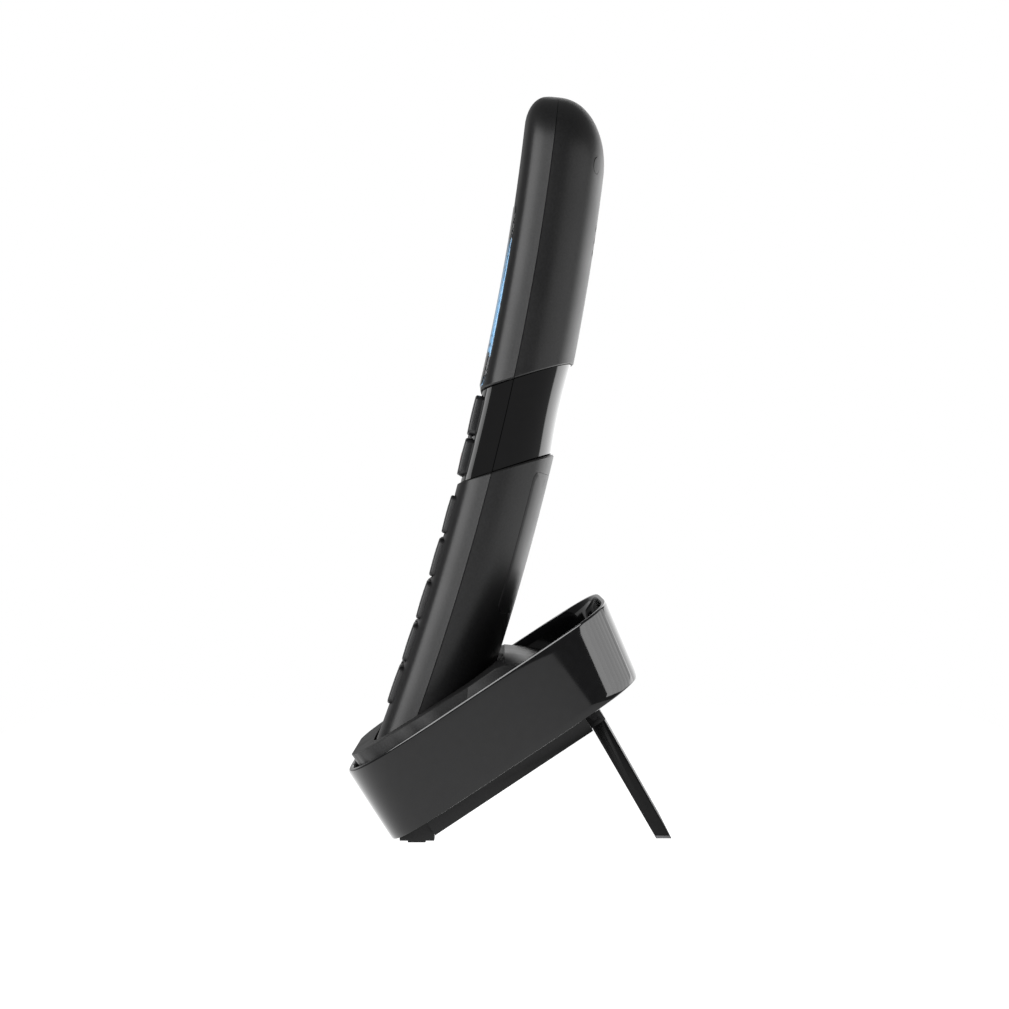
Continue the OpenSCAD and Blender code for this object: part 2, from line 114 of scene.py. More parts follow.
def finish_piece(name, mesh, body, material, replaces, sharp):
    obj = bpy.data.objects.new(name, mesh)
    bpy.context.scene.collection.objects.link(obj)
    mesh.materials.clear()
    mesh.materials.append(material)
    shade(mesh, sharp)
    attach(obj, body)
    if replaces:
        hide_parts(*replaces)
    return obj


def shade(mesh, sharp):
    mesh.shade_smooth()
    mesh.set_sharp_from_angle(angle=math.radians(sharp))


def cut(obj, cutters, sharp=32):
    """Takes the closed cutters out of obj and applies the result."""
    tool = join_meshes("cutter", cutters)
    modifier = obj.modifiers.new("cut", "BOOLEAN")
    modifier.operation = "DIFFERENCE"
    modifier.solver = "EXACT"
    modifier.object = tool
    bpy.context.view_layer.update()
    depsgraph = bpy.context.evaluated_depsgraph_get()
    result = bpy.data.meshes.new_from_object(obj.evaluated_get(depsgraph))
    obj.modifiers.clear()
    old = obj.data
    obj.data = result
    bpy.data.meshes.remove(old)
    bpy.data.objects.remove(tool)
    while len(result.materials) > 1:
        result.materials.pop()
    tidy_mesh(result)
    shade(result, sharp)


def join_meshes(name, parts):
    """One loose object from [(verts, faces), ...] in millimetres."""
    verts, faces = [], []
    for part_verts, part_faces in parts:
        base = len(verts)
        verts += part_verts
        faces += [[i + base for i in f] for f in part_faces]
    mesh = bpy.data.meshes.new(name)
    mesh.from_pydata([[c * MM for c in v] for v in verts], [], faces)
    tidy_mesh(mesh)
    obj = bpy.data.objects.new(name, mesh)
    bpy.context.scene.collection.objects.link(obj)
    return obj


def grid_faces(rows, columns, wrap=False):
    faces = []
    for i in range(rows - 1):
        for j in range(columns if wrap else columns - 1):
            k = (j + 1) % columns
            faces.append([i * columns + j, i * columns + k, (i + 1) * columns + k, (i + 1) * columns + j])
    return faces


def loft(rings):
    """A closed body from rings of equal point counts, each ring a closed loop."""
    count = len(rings[0])
    verts = [p for ring in rings for p in ring]
    faces = grid_faces(len(rings), count, wrap=True)
    faces += [list(range(count)), list(range(len(verts) - count, len(verts)))]
    return verts, faces


def quarter_angles(a, b, power, steps):
    """Parameters of a quarter superellipse at equal distances along it, from (a, 0) to (0, b)."""
    u = np.linspace(0, 1, 4001)
    t = math.pi / 2 * u**3 / (u**3 + (1 - u) ** 3)
    x, y = a * np.cos(t) ** (2 / power), b * np.sin(t) ** (2 / power)
    run = np.concatenate([[0], np.cumsum(np.hypot(np.diff(x), np.diff(y)))])
    return np.interp(np.linspace(0, run[-1], steps + 1), run, t)


def power_cos(t, power):
    c = math.cos(t)
    return math.copysign(abs(c) ** (2 / power), c) if abs(c) > 1e-12 else 0.0


def power_sin(t, power):
    s = math.sin(t)
    return math.copysign(abs(s) ** (2 / power), s) if abs(s) > 1e-12 else 0.0


def round_rect(half_w, half_l, radius, corner=5, side=4):
    """A rounded rectangle as a closed loop with evenly split sides, anticlockwise."""
    radius = min(radius, half_w * 0.999, half_l * 0.999)
    centres = [(half_w - radius, half_l - radius), (radius - half_w, half_l - radius),
               (radius - half_w, radius - half_l), (half_w - radius, radius - half_l)]
    points = []
    for k, (cx, cy) in enumerate(centres):
        arc_points = [(cx + radius * math.cos(math.pi / 2 * (k + i / corner)),
                       cy + radius * math.sin(math.pi / 2 * (k + i / corner))) for i in range(corner + 1)]
        points += arc_points
        nx, ny = centres[(k + 1) % 4]
        a = math.pi / 2 * (k + 1)
        end = (nx + radius * math.cos(a), ny + radius * math.sin(a))
        start = arc_points[-1]
        points += [(start[0] + (end[0] - start[0]) * i / side, start[1] + (end[1] - start[1]) * i / side)
                   for i in range(1, side)]
    return points


# ------------------------------------------------------------------ handset coordinates
def on_arc(x, r, t):
    return (x, ARC_Y + r * math.cos(t), ARC_Z + r * math.sin(t))


def at_arc(angle, x, r, s):
    """A point in the flat frame that touches the arc at angle: r outwards, s along the handset."""
    c, n = math.cos(angle), math.sin(angle)
    return (x, ARC_Y + r * c - s * n, ARC_Z + r * n + s * c)


def skin_radius(side, x):
    """Radius of the handset's outer surface, away from its ends."""
    power = FRONT_POWER if side < 0 else BACK_POWER
    depth = FRONT_DEPTH if side < 0 else BACK_DEPTH
    share = min(abs(x) / HALF_W, 1.0)
    return SEAM_R + side * depth * (1 - share**power) ** (1 / power)


def skin_at(side, angle, x, s):
    """Radial height of the skin in the flat frame at angle."""
    top_share = (TOP - angle) * SEAM_R / LENGTH
    taper = BACK_TAPER * (1 - top_share + s / LENGTH) if side > 0 else 0.0
    depth_share = (1 - min(abs(x) / HALF_W, 1.0) ** BACK_POWER) ** (1 / BACK_POWER)
    rho = skin_radius(side, x) - taper * depth_share
    return math.sqrt(rho * rho - s * s)


def end_scale(t):
    """Half width and the two depths of the body at an angle, as the ends round off."""
    a_top, a_low = (TOP - t) * SEAM_R, (t - BOTTOM) * SEAM_R

    def quarter(reach, along, a):
        return 0.0 if a >= along else reach * (1 - math.sqrt(max(0.0, 1 - ((along - a) / along) ** 2)))

    def outline(a, reach, power):
        return 1.0 if a >= reach else max(0.0, 1 - ((reach - a) / reach) ** power) ** (1 / power)

    width = HALF_W * outline(a_top, HEAD_REACH, HEAD_POWER) * outline(a_low, FOOT_REACH, FOOT_POWER)
    front = FRONT_DEPTH - quarter(*FRONT_HEAD_ROUND, a_top) - quarter(*FOOT_ROUND, a_low)
    taper = BACK_TAPER * min(1, a_low / LENGTH)
    back = BACK_DEPTH - taper - quarter(*BACK_HEAD_ROUND, a_top) - quarter(*FOOT_ROUND, a_low)
    return width, front, back


def body_point(side, phi, t, d):
    """The handset's skin at section parameter phi and angle t, d below the outside."""
    width, front, back = end_scale(t)
    power = FRONT_POWER if side < 0 else BACK_POWER
    depth = front if side < 0 else back
    width, depth = max(width - d, 0.0), max(depth - d, 0.05)
    across, out = width * power_cos(phi, power), depth * power_sin(phi, power)
    # the seam is a slight ridge with a fine groove along its crest; the ridge fades towards the middle
    fade = (abs(across) / max(width, 0.001)) ** 4
    ridge = SEAM_RIDGE * fade * (width / HALF_W) * (1 - math.exp(-out / RIDGE_SPREAD))
    crest = ridge if out > 0.01 else SEAM_GROOVE
    return across - math.copysign(min(crest, abs(across)), across), SEAM_R + side * out


def band_angle(edge, r, lift=0.0):
    """Angle where a band edge's sloping plane meets radius r, moved up by lift millimetres."""
    y0, z0 = edge
    c = (z0 + lift - y0 * math.tan(BAND_SLOPE)) + ARC_Y * math.tan(BAND_SLOPE) - ARC_Z
    return BAND_SLOPE + math.asin(c * math.cos(BAND_SLOPE) / r)


def section_angles(side, steps):
    power = FRONT_POWER if side < 0 else BACK_POWER
    depth = FRONT_DEPTH if side < 0 else BACK_DEPTH
    first = quarter_angles(HALF_W, depth, power, steps)
    first = [0.0, math.asin((0.09 / depth) ** (power / 2))] + list(first[1:])
    return first + [math.pi - t for t in first[-2::-1]]


def tip_steps(reach, power, count):
    """Distances from an end that step evenly round its outline."""
    return [reach * (k / count) ** power for k in range(count + 1)]


def skin_grid(side, phis, rows, depth_of):
    """Points of a skin: rows is a list of (angle function of radius, depth)."""
    verts = []
    for angle_of, d in rows:
        for phi in phis:
            r = SEAM_R + side * (FRONT_DEPTH if side < 0 else BACK_DEPTH) * power_sin(
                phi, FRONT_POWER if side < 0 else BACK_POWER)
            t = angle_of(r)
            x, r = body_point(side, phi, t, depth_of(d, t, phi))
            verts.append(on_arc(x, r, t))
    return verts


def plain_depth(d, t, phi):
    return d


def between(edge_low, edge_high, share):
    return lambda r: edge_low(r) + (edge_high(r) - edge_low(r)) * share


def shell_rows(inner):
    """Rows of a half shell from its bottom end to its top end; the inner skin lies shell_t deeper."""
    low, high = (lambda r: band_angle(BAND_BOTTOM, r)), (lambda r: band_angle(BAND_TOP, r))
    deeper = SHELL_T if inner else 0.0
    shrink = SHELL_T / SEAM_R if inner else 0.0
    bottom, top = BOTTOM + shrink, TOP - shrink
    rows = [((lambda r, a=a: bottom + a / SEAM_R), deeper) for a in tip_steps(FOOT_REACH, 2.6, 14)]
    start = (lambda r: bottom + FOOT_REACH / SEAM_R)
    margin = (2.0 if inner else 0.3) / SEAM_R
    rows += [(between(start, (lambda r: low(r) - margin), k / 34), deeper) for k in range(1, 35)]
    if inner:
        below, above = (lambda r: low(r) - margin * 0.8), (lambda r: high(r) + margin * 0.8)
        rows += [(between(below, above, k / 8), NECK_D + 1.1) for k in range(9)]
    else:
        rows += [((lambda r: low(r)), 0.25), ((lambda r: low(r)), NECK_D)]
        rows += [(between(low, high, k / 8), NECK_D) for k in range(1, 8)]
        rows += [((lambda r: high(r)), NECK_D), ((lambda r: high(r)), 0.25)]
    end = (lambda r: top - HEAD_REACH / SEAM_R)
    rows += [(between((lambda r: high(r) + margin), end, k / 30), deeper) for k in range(31)]
    head_steps = reversed(tip_steps(HEAD_REACH, 2.2, 20)[:-1])
    rows += [((lambda r, a=a: top - a / SEAM_R), deeper) for a in head_steps]
    return rows


def half_shell(side):
    """The outer and the inner skin of a half shell, still open along the seam."""
    phis = section_angles(side, 36)
    columns = len(phis)
    outer = skin_grid(side, phis, shell_rows(False), plain_depth)
    inner_rows = shell_rows(True)
    inner = skin_grid(side, phis, inner_rows, plain_depth)
    verts = list(outer)
    faces = grid_faces(len(outer) // columns, columns)
    base = len(verts)
    verts += inner
    faces += [[i + base for i in f] for f in grid_faces(len(inner_rows), columns)]
    return verts, faces


# ------------------------------------------------------------------ surface-following solids
def slab_on_skin(angle, x0, s0, outline, layers, cap_rings=0, top=None):
    """Rings of one outline, each grown or shrunk and set at a radial height, in the frame at angle.

    layers is [(grow, height function of x and s), ...]; outline(grow) gives the loop.
    cap_rings closes the last layer with shrinking rings, at heights from top(x, s)."""
    rings = []
    for grow, height in layers:
        rings.append([at_arc(angle, x0 + x, height(x0 + x, s0 + s), s0 + s) for x, s in outline(grow)])
    if cap_rings:
        last = outline(layers[-1][0])
        for k in range(1, cap_rings + 1):
            f = 1 - k / (cap_rings + 0.6)
            inner = [(x0 + x * f, s0 + s * f) for x, s in last]
            rings.append([at_arc(angle, x, top(x, s), s) for x, s in inner])
    return loft(rings)


def rounded_edge(top, edge, steps):
    """Layers for slab_on_skin that round a raised face over from its side wall onto its top."""
    layers = []
    for k in range(steps + 1):
        a = math.pi / 2 * k / steps
        layers.append((-edge * (1 - math.cos(a)), lambda x, s, a=a: top(x, s) + edge * (1 - math.sin(a))))
    return layers


def rect(half_w, half_l, radius, corner=5, side=4):
    return lambda grow: round_rect(half_w + grow, half_l + grow, max(radius + grow, 0.05), corner, side)


def disc(radius, count=32):
    return lambda grow: [((radius + grow) * math.cos(2 * math.pi * i / count),
                          (radius + grow) * math.sin(2 * math.pi * i / count)) for i in range(count)]


def hole_cutter(side, angle, x0, s0, outline, deep, flare):
    """A cutter through the skin, with a chamfered mouth that follows the surface."""
    def at_depth(below):
        return lambda x, s: skin_at(side, angle, x, s) - side * below
    layers = [(0, at_depth(deep)), (0, at_depth(flare)), (flare, at_depth(0)), (flare * 1.2, at_depth(-2.5))]
    return slab_on_skin(angle, x0, s0, outline, layers)


# ------------------------------------------------------------------ materials
def new_material(name):
    material = bpy.data.materials.new(name)
    material.use_nodes = True
    nodes = material.node_tree.nodes
    shader = nodes["Principled BSDF"]
    return material, nodes, material.node_tree.links, shader


def noise(nodes, links, scale, detail=3):
    """Noise in object space; scale is in features per metre."""
    coordinates = nodes.new("ShaderNodeTexCoord")
    texture = nodes.new("ShaderNodeTexNoise")
    texture.inputs["Scale"].default_value = scale
    texture.inputs["Detail"].default_value = detail
    links.new(coordinates.outputs["Object"], texture.inputs["Vector"])
    return texture.outputs["Fac"]


def spread(nodes, links, value, low, high):
    """The noise value mapped to a range."""
    node = nodes.new("ShaderNodeMapRange")
    node.inputs["From Min"].default_value = 0.3
    node.inputs["From Max"].default_value = 0.7
    node.inputs["To Min"].default_value = low
    node.inputs["To Max"].default_value = high
    links.new(value, node.inputs["Value"])
    return node.outputs["Result"]


def tint(nodes, links, value, dark, light):
    node = nodes.new("ShaderNodeValToRGB")
    node.color_ramp.elements[0].position = 0.3
    node.color_ramp.elements[1].position = 0.7
    node.color_ramp.elements[0].color = (*dark, 1)
    node.color_ramp.elements[1].color = (*light, 1)
    links.new(value, node.inputs["Fac"])
    return node.outputs["Color"]


def bump(nodes, links, value, strength, distance_mm, normal=None):
    node = nodes.new("ShaderNodeBump")
    node.inputs["Strength"].default_value = strength
    node.inputs["Distance"].default_value = distance_mm * MM
    links.new(value, node.inputs["Height"])
    if normal:
        links.new(normal, node.inputs["Normal"])
    return node.outputs["Normal"]


def plastic(name, dark, light, rough, grain, grain_depth, coat=0.0, wave=0.0, specular=0.5, metallic=0.0):
    """Moulded plastic: eroded grain, patchy roughness, slight colour variation and mould waviness."""
    material, nodes, links, shader = new_material(name)
    fine = noise(nodes, links, grain, 4)
    patch = noise(nodes, links, 70, 3)
    links.new(tint(nodes, links, noise(nodes, links, grain * 0.6, 2), dark, light),
              shader.inputs["Base Color"])
    links.new(spread(nodes, links, patch, rough[0], rough[1]), shader.inputs["Roughness"])
    normal = bump(nodes, links, fine, 0.6, grain_depth)
    if wave:
        normal = bump(nodes, links, noise(nodes, links, 55, 1), 0.5, wave, normal)
    links.new(normal, shader.inputs["Normal"])
    shader.inputs["Specular IOR Level"].default_value = specular
    shader.inputs["Metallic"].default_value = metallic
    shader.inputs["Coat Weight"].default_value = coat
    shader.inputs["Coat Roughness"].default_value = 0.04
    return material


SHELL = plastic("shell_plastic", (0.004, 0.004, 0.0042), (0.010, 0.010, 0.0105), (0.36, 0.42), 3600, 0.012)
KEY = plastic("key_plastic", (0.005, 0.005, 0.0053), (0.009, 0.009, 0.0095), (0.34, 0.42), 3000, 0.006)
BAND_KEY = plastic("band_key_plastic", (0.006, 0.006, 0.0065), (0.011, 0.011, 0.012),
                   (0.26, 0.32), 3000, 0.004)
BAND = plastic("band_gloss", (0.0035, 0.0035, 0.004), (0.005, 0.005, 0.0055), (0.05, 0.09), 900, 0.0004,
               wave=0.004, specular=0.8)
RING_MAT = plastic("ring_gloss", (0.0020, 0.0020, 0.0022), (0.0032, 0.0032, 0.0035),
                   (0.05, 0.09), 900, 0.0004, wave=0.004, specular=0.4)
CRADLE = plastic("cradle_plastic", (0.007, 0.007, 0.0073), (0.014, 0.014, 0.0145),
                 (0.42, 0.5), 3200, 0.014, specular=0.3)
COVER = plastic("cover_plastic", (0.003, 0.003, 0.0032), (0.006, 0.006, 0.0063),
                (0.34, 0.42), 2600, 0.008, specular=0.25)
LEG = plastic("leg_plastic", (0.002, 0.002, 0.0021), (0.004, 0.004, 0.0042),
              (0.34, 0.40), 2600, 0.006, specular=0.15)
TRAY = plastic("tray_plastic", (0.014, 0.014, 0.015), (0.024, 0.024, 0.025), (0.45, 0.55), 2600, 0.01)
RUBBER = plastic("foot_rubber", (0.010, 0.010, 0.010), (0.020, 0.020, 0.020),
                 (0.75, 0.9), 2200, 0.03, specular=0.3)
LEG_RUBBER = plastic("leg_rubber", (0.09, 0.09, 0.093), (0.13, 0.13, 0.135),
                     (0.7, 0.85), 2200, 0.03, specular=0.3)
SILICONE = plastic("silicone", (0.45, 0.46, 0.47), (0.55, 0.56, 0.57), (0.6, 0.7), 1500, 0.01)
BOARD = plastic("circuit_board", (0.012, 0.06, 0.022), (0.02, 0.11, 0.035), (0.25, 0.4), 700, 0.01)
RIBBON = plastic("ribbon", (0.35, 0.13, 0.02), (0.45, 0.19, 0.03), (0.25, 0.35), 900, 0.004)
GRILLE = plastic("grille", (0.03, 0.03, 0.032), (0.06, 0.06, 0.063), (0.3, 0.4), 1500, 0.02, metallic=0.9)
STEEL = plastic("screw_steel", (0.40, 0.40, 0.41), (0.55, 0.55, 0.56),
                (0.25, 0.4), 1800, 0.004, metallic=1.0)
SPEAKER = plastic("speaker_metal", (0.25, 0.25, 0.26), (0.4, 0.4, 0.41),
                  (0.3, 0.45), 1800, 0.006, metallic=1.0)
GOLD = plastic("contact_metal", (0.75, 0.52, 0.20), (0.92, 0.68, 0.30),
               (0.18, 0.3), 1500, 0.003, metallic=1.0)
WRAP = plastic("battery_wrap", (0.02, 0.14, 0.055), (0.035, 0.22, 0.085), (0.2, 0.32), 400, 0.02, coat=0.4)
LEGEND = plastic("legend_ink", (0.55, 0.56, 0.57), (0.68, 0.69, 0.70), (0.4, 0.5), 1800, 0.002)
LEGEND_GREEN = plastic("legend_green", (0.02, 0.32, 0.06), (0.03, 0.42, 0.09), (0.4, 0.5), 1800, 0.002)
LEGEND_RED = plastic("legend_red", (0.22, 0.012, 0.012), (0.30, 0.018, 0.018), (0.4, 0.5), 1800, 0.002)
MASK = plastic("window_mask", (0.006, 0.006, 0.007), (0.009, 0.009, 0.010), (0.3, 0.36), 1200, 0.002)


def glass_material():
    material, nodes, links, shader = new_material("window")
    shader.inputs["Base Color"].default_value = (0.95, 0.98, 1.0, 1)
    shader.inputs["Transmission Weight"].default_value = 1.0
    shader.inputs["IOR"].default_value = 1.49
    links.new(spread(nodes, links, noise(nodes, links, 60, 2), 0.0, 0.02), shader.inputs["Roughness"])
    links.new(bump(nodes, links, noise(nodes, links, 45, 1), 0.1, 0.0004), shader.inputs["Normal"])
    return material


def screen_material():
    """Backlit blue liquid crystal with a faint pixel grid."""
    material, nodes, links, shader = new_material("display")
    coordinates = nodes.new("ShaderNodeTexCoord")
    grid = nodes.new("ShaderNodeTexBrick")
    grid.offset = 0.0
    grid.inputs["Color1"].default_value = (0.26, 0.55, 0.86, 1)
    grid.inputs["Color2"].default_value = (0.29, 0.58, 0.88, 1)
    grid.inputs["Mortar"].default_value = (0.21, 0.49, 0.80, 1)
    grid.inputs["Scale"].default_value = 1000
    grid.inputs["Mortar Size"].default_value = 0.03
    grid.inputs["Brick Width"].default_value = 0.4
    grid.inputs["Row Height"].default_value = 0.4
    mapping = nodes.new("ShaderNodeMapping")
    mapping.inputs["Rotation"].default_value = (math.radians(-80), 0, 0)
    links.new(coordinates.outputs["Object"], mapping.inputs["Vector"])
    links.new(mapping.outputs["Vector"], grid.inputs["Vector"])
    shader.inputs["Base Color"].default_value = (0.02, 0.04, 0.08, 1)
    links.new(grid.outputs["Color"], shader.inputs["Emission Color"])
    shader.inputs["Emission Strength"].default_value = 0.85
    links.new(spread(nodes, links, noise(nodes, links, 300, 2), 0.3, 0.4), shader.inputs["Roughness"])
    return material


GLASS = glass_material()
SCREEN = screen_material()
SCREEN_INK = plastic("display_ink", (0.005, 0.03, 0.11), (0.008, 0.045, 0.15), (0.35, 0.45), 2500, 0.002)

# ------------------------------------------------------------------ handset keys
KEY_FRONT = FRONT_R - 0.85
KEY_BACK = 610.6
KEY_FALL = 0.3
KEY_FOOT = [(-0.1, lambda x, s: KEY_BACK), (0, lambda x, s: KEY_BACK - 0.15)]
KEY_HALF = (5.7, 4.55)
KEY_CORNER, KEY_GAP = 1.3, 0.25
KEY_PITCH = 13.2
FIRST_ROW, ROW_STEP = -15.37, 0.98
BAND_KEYS = {"soft_key_left": (-13.12, -1, 4.7), "soft_key_right": (-13.12, 1, 4.7),
             "talk_key": (-14.06, -1, 4.45), "end_key": (-14.06, 1, 4.45)}
ROCKER = {"angle": -13.59, "half": (6.0, 9.35)}
KEY_ROWS = [["key_1", "key_2", "key_3"], ["key_4", "key_5", "key_6"], ["key_7", "key_8", "key_9"],
            ["key_star", "key_0", "key_hash"], ["key_menu", "key_mute", "key_speaker"]]
KEY_PLACES = {name: (math.radians(FIRST_ROW - ROW_STEP * row), (column - 1) * KEY_PITCH, KEY_HALF)
              for row, names in enumerate(KEY_ROWS) for column, name in enumerate(names)}
KEY_PLACES.update({name: (math.radians(angle), column * KEY_PITCH, (KEY_HALF[0], half_l))
                   for name, (angle, column, half_l) in BAND_KEYS.items()})


def key_top(x0, half):
    """Height of a key's face: level at the middle of the handset, falling away towards its sides."""
    def height(x, s):
        side = ((abs(x) - 5.0) / 13.9) if abs(x) > 5.0 else 0.0
        return KEY_FRONT + KEY_FALL * side**2 + 0.12 * ((x - x0) / half[0]) ** 2 + 0.1 * (s / half[1]) ** 2
    return height


def make_key(name, material, slot):
    angle, x0, half = KEY_PLACES[name]
    outline = rect(half[0] - 0.02, half[1] - 0.02, KEY_CORNER, 6, 5)
    top = key_top(x0, half)
    verts, faces = slab_on_skin(angle, x0, 0, outline, KEY_FOOT + rounded_edge(top, 0.36, 5), 4, top)
    piece(name + "_cap", verts, faces, name, material, slot, [name], 40)


for row_names in KEY_ROWS:
    for key_name in row_names:
        make_key(key_name, KEY, "key_plastic")
for key_name in BAND_KEYS:
    make_key(key_name, BAND_KEY, "band_key_plastic")


def make_rocker():
    """Two-way rocker with a raised rim ridge at each end and a dished middle."""
    angle, half = math.radians(ROCKER["angle"]), ROCKER["half"]
    outline = rect(half[0] - 0.02, half[1] - 0.02, 1.6, 6, 6)

    def top(x, s):
        dish = 0.22 * math.cos(math.pi * min(abs(s) / half[1], 1)) + 0.22
        return KEY_FRONT + 0.1 * (x / half[0]) ** 2 + dish * 0.8 + 0.16 * (s / half[1]) ** 6

    verts, faces = slab_on_skin(angle, 0, 0, outline, KEY_FOOT + rounded_edge(top, 0.45, 5), 12, top)
    piece("scroll_rocker_cap", verts, faces, "scroll_rocker", BAND_KEY, "band_key_plastic",
          ["scroll_rocker"], 40)
    return top


rocker_top = make_rocker()


# ------------------------------------------------------------------ legends
def flat_text(text, size):
    """Triangulated letters in millimetres, centred, as (verts, faces) with a small thickness."""
    curve = bpy.data.curves.new("glyph", "FONT")
    curve.body = text
    curve.size = size
    curve.align_x = "CENTER"
    curve.align_y = "CENTER"
    curve.extrude = INK_HALF
    curve.resolution_u = 5
    obj = bpy.data.objects.new("glyph", curve)
    bpy.context.scene.collection.objects.link(obj)
    bpy.context.view_layer.update()
    mesh = bpy.data.meshes.new_from_object(obj.evaluated_get(bpy.context.evaluated_depsgraph_get()))
    verts = [tuple(v.co) for v in mesh.vertices]
    faces = [list(p.vertices) for p in mesh.polygons]
    bpy.data.objects.remove(obj)
    bpy.data.curves.remove(curve)
    bpy.data.meshes.remove(mesh)
    return verts, faces


def flat_shape(points):
    """A thin closed plate from one outline."""
    count = len(points)
    verts = [(x, y, -INK_HALF) for x, y in points] + [(x, y, INK_HALF) for x, y in points]
    faces = [list(range(count))[::-1], list(range(count, 2 * count))]
    faces += [[i, (i + 1) % count, count + (i + 1) % count, count + i] for i in range(count)]
    return verts, faces


def bar(x0, y0, x1, y1, radius=0.0):
    """A thin bar: one rounded plate, or short steps that follow a curved surface."""
    if radius:
        cx, cy, hx, hy = (x0 + x1) / 2, (y0 + y1) / 2, (x1 - x0) / 2, (y1 - y0) / 2
        return flat_shape([(cx + x, cy + y) for x, y in round_rect(hx, hy, radius, 4, 2)])
    count = max(1, round((x1 - x0) / 1.5))
    verts = [(x0 + (x1 - x0) * k / count, y, z) for k in range(count + 1)
             for y, z in ((y0, -INK_HALF), (y1, -INK_HALF), (y1, INK_HALF), (y0, INK_HALF))]
    last = 4 * count
    return verts, grid_faces(count + 1, 4, wrap=True) + [[3, 2, 1, 0], [last, last + 1, last + 2, last + 3]]


def merged(parts):
    verts, faces = [], []
    for part_verts, part_faces in parts:
        base = len(verts)
        verts += part_verts
        faces += [[i + base for i in f] for f in part_faces]
    return verts, faces


def handset_icon(turn=0.0, size=1.0):
    """A plain telephone receiver: an arched bar with two ends."""
    outer = [(2.1 * math.cos(a), 1.5 * math.sin(a) - 0.5) for a in np.linspace(math.pi, 0, 13)]
    inner = [(1.15 * math.cos(a), 0.75 * math.sin(a) - 0.45) for a in np.linspace(0, math.pi, 9)]
    points = outer + [(2.1, -1.0), (1.05, -1.0)] + inner + [(-1.05, -1.0), (-2.1, -1.0)]
    c, s = math.cos(turn) * size, math.sin(turn) * size
    return flat_shape([(x * c - y * s, x * s + y * c) for x, y in points])


def triangle_icon(direction):
    return flat_shape([(-1.3, -0.7 * direction), (1.3, -0.7 * direction), (0, 0.9 * direction)][::direction])


def speaker_icon():
    body = flat_shape([(-1.7, -0.6), (-0.9, -0.6), (0.0, -1.4), (0.0, 1.4), (-0.9, 0.6), (-1.7, 0.6)])
    waves = []
    for r in (1.0, 1.8):
        out = [(0.2 + r * math.cos(a), r * math.sin(a)) for a in np.linspace(-0.8, 0.8, 9)]
        back = [(0.2 + (r - 0.3) * math.cos(a), (r - 0.3) * math.sin(a)) for a in np.linspace(0.8, -0.8, 9)]
        waves.append(flat_shape(out + back))
    return merged([body] + waves)


def mute_icon():
    capsule = flat_shape([(x, y + 0.5) for x, y in round_rect(0.6, 1.1, 0.55, 6, 2)])
    stand = bar(-0.12, -1.7, 0.12, -0.9)
    foot = bar(-0.7, -1.8, 0.7, -1.55)
    slash = flat_shape([(-1.5, -1.5), (-1.25, -1.7), (1.6, 1.5), (1.35, 1.7)])
    return merged([capsule, stand, foot, slash])


def menu_icon():
    return merged([bar(-1.5, y - 0.17, 1.5, y + 0.17, 0.15) for y in (-0.9, 0.0, 0.9)])


def print_on(name, flat, body, angle, x0, top, material, slot, shift=(0.0, 0.0), lift=0.012):
    """Lays thin flat artwork on a surface given by its height function in the frame at angle."""
    verts, faces = flat
    placed = []
    for x, y, z in verts:
        px, ps = x0 + shift[0] + x, shift[1] + y
        placed.append(at_arc(angle, px, top(px, ps) - lift - z, ps))
    return piece(name, placed, faces, body, material, slot, (), 30)


LEGENDS = {**{f"key_{n}": flat_text(str(n), 5.0) for n in range(10)},
           "key_star": flat_text("*", 6.5), "key_hash": flat_text("#", 4.6),
           "key_menu": menu_icon(), "key_mute": mute_icon(), "key_speaker": speaker_icon(),
           "soft_key_left": bar(-1.8, -0.2, 1.8, 0.2, 0.18),
           "soft_key_right": bar(-1.8, -0.2, 1.8, 0.2, 0.18),
           "talk_key": handset_icon(math.radians(48), 0.95), "end_key": handset_icon(0.0, 0.95)}
for key_name, art in LEGENDS.items():
    key_angle, key_x, key_half = KEY_PLACES[key_name]
    ink = {"talk_key": LEGEND_GREEN, "end_key": LEGEND_RED}.get(key_name, LEGEND)
    key_slot = "band_key_plastic" if key_name in BAND_KEYS else "key_plastic"
    drop = -0.9 if key_name == "key_star" else 0.0
    print_on("legend_" + key_name, art, key_name, key_angle, key_x, key_top(key_x, key_half), ink, key_slot,
             (0.0, drop))
for direction, label in ((1, "up"), (-1, "down")):
    print_on("legend_rocker_" + label, triangle_icon(direction), "scroll_rocker",
             math.radians(ROCKER["angle"]), 0, rocker_top, LEGEND, "band_key_plastic", (0.0, direction * 6.2))

# ------------------------------------------------------------------ handset shells
LENS_ANGLE, LENS_HALF = math.radians(-10.42), (19.5, 21.4)
EAR_ANGLE, MIC_ANGLE, SPEAKER_ANGLE = math.radians(-6.98), math.radians(-20.45), math.radians(-8.8)
DOOR_ANGLE, DOOR_HALF = math.radians(-15.55), (18.0, 17.0)
SCREW_ANGLES, SCREW_X = (math.radians(-7.3), math.radians(-20.4)), 15.0


def seam_closed(side):
    """The half shell as one closed mesh, with its two skins bridged along the seam."""
    verts, faces = half_shell(side)
    bm = bmesh.new()
    points = [bm.verts.new(v) for v in verts]
    for f in faces:
        bm.faces.new([points[i] for i in f])
    bmesh.ops.remove_doubles(bm, verts=bm.verts, dist=0.004)
    bm.verts.ensure_lookup_table()
    bmesh.ops.bridge_loops(bm, edges=[e for e in bm.edges if e.is_boundary])
    bmesh.ops.recalc_face_normals(bm, faces=bm.faces)
    out_verts = [tuple(v.co) for v in bm.verts]
    out_faces = [[v.index for v in f.verts] for f in bm.faces]
    bm.free()
    return out_verts, out_faces


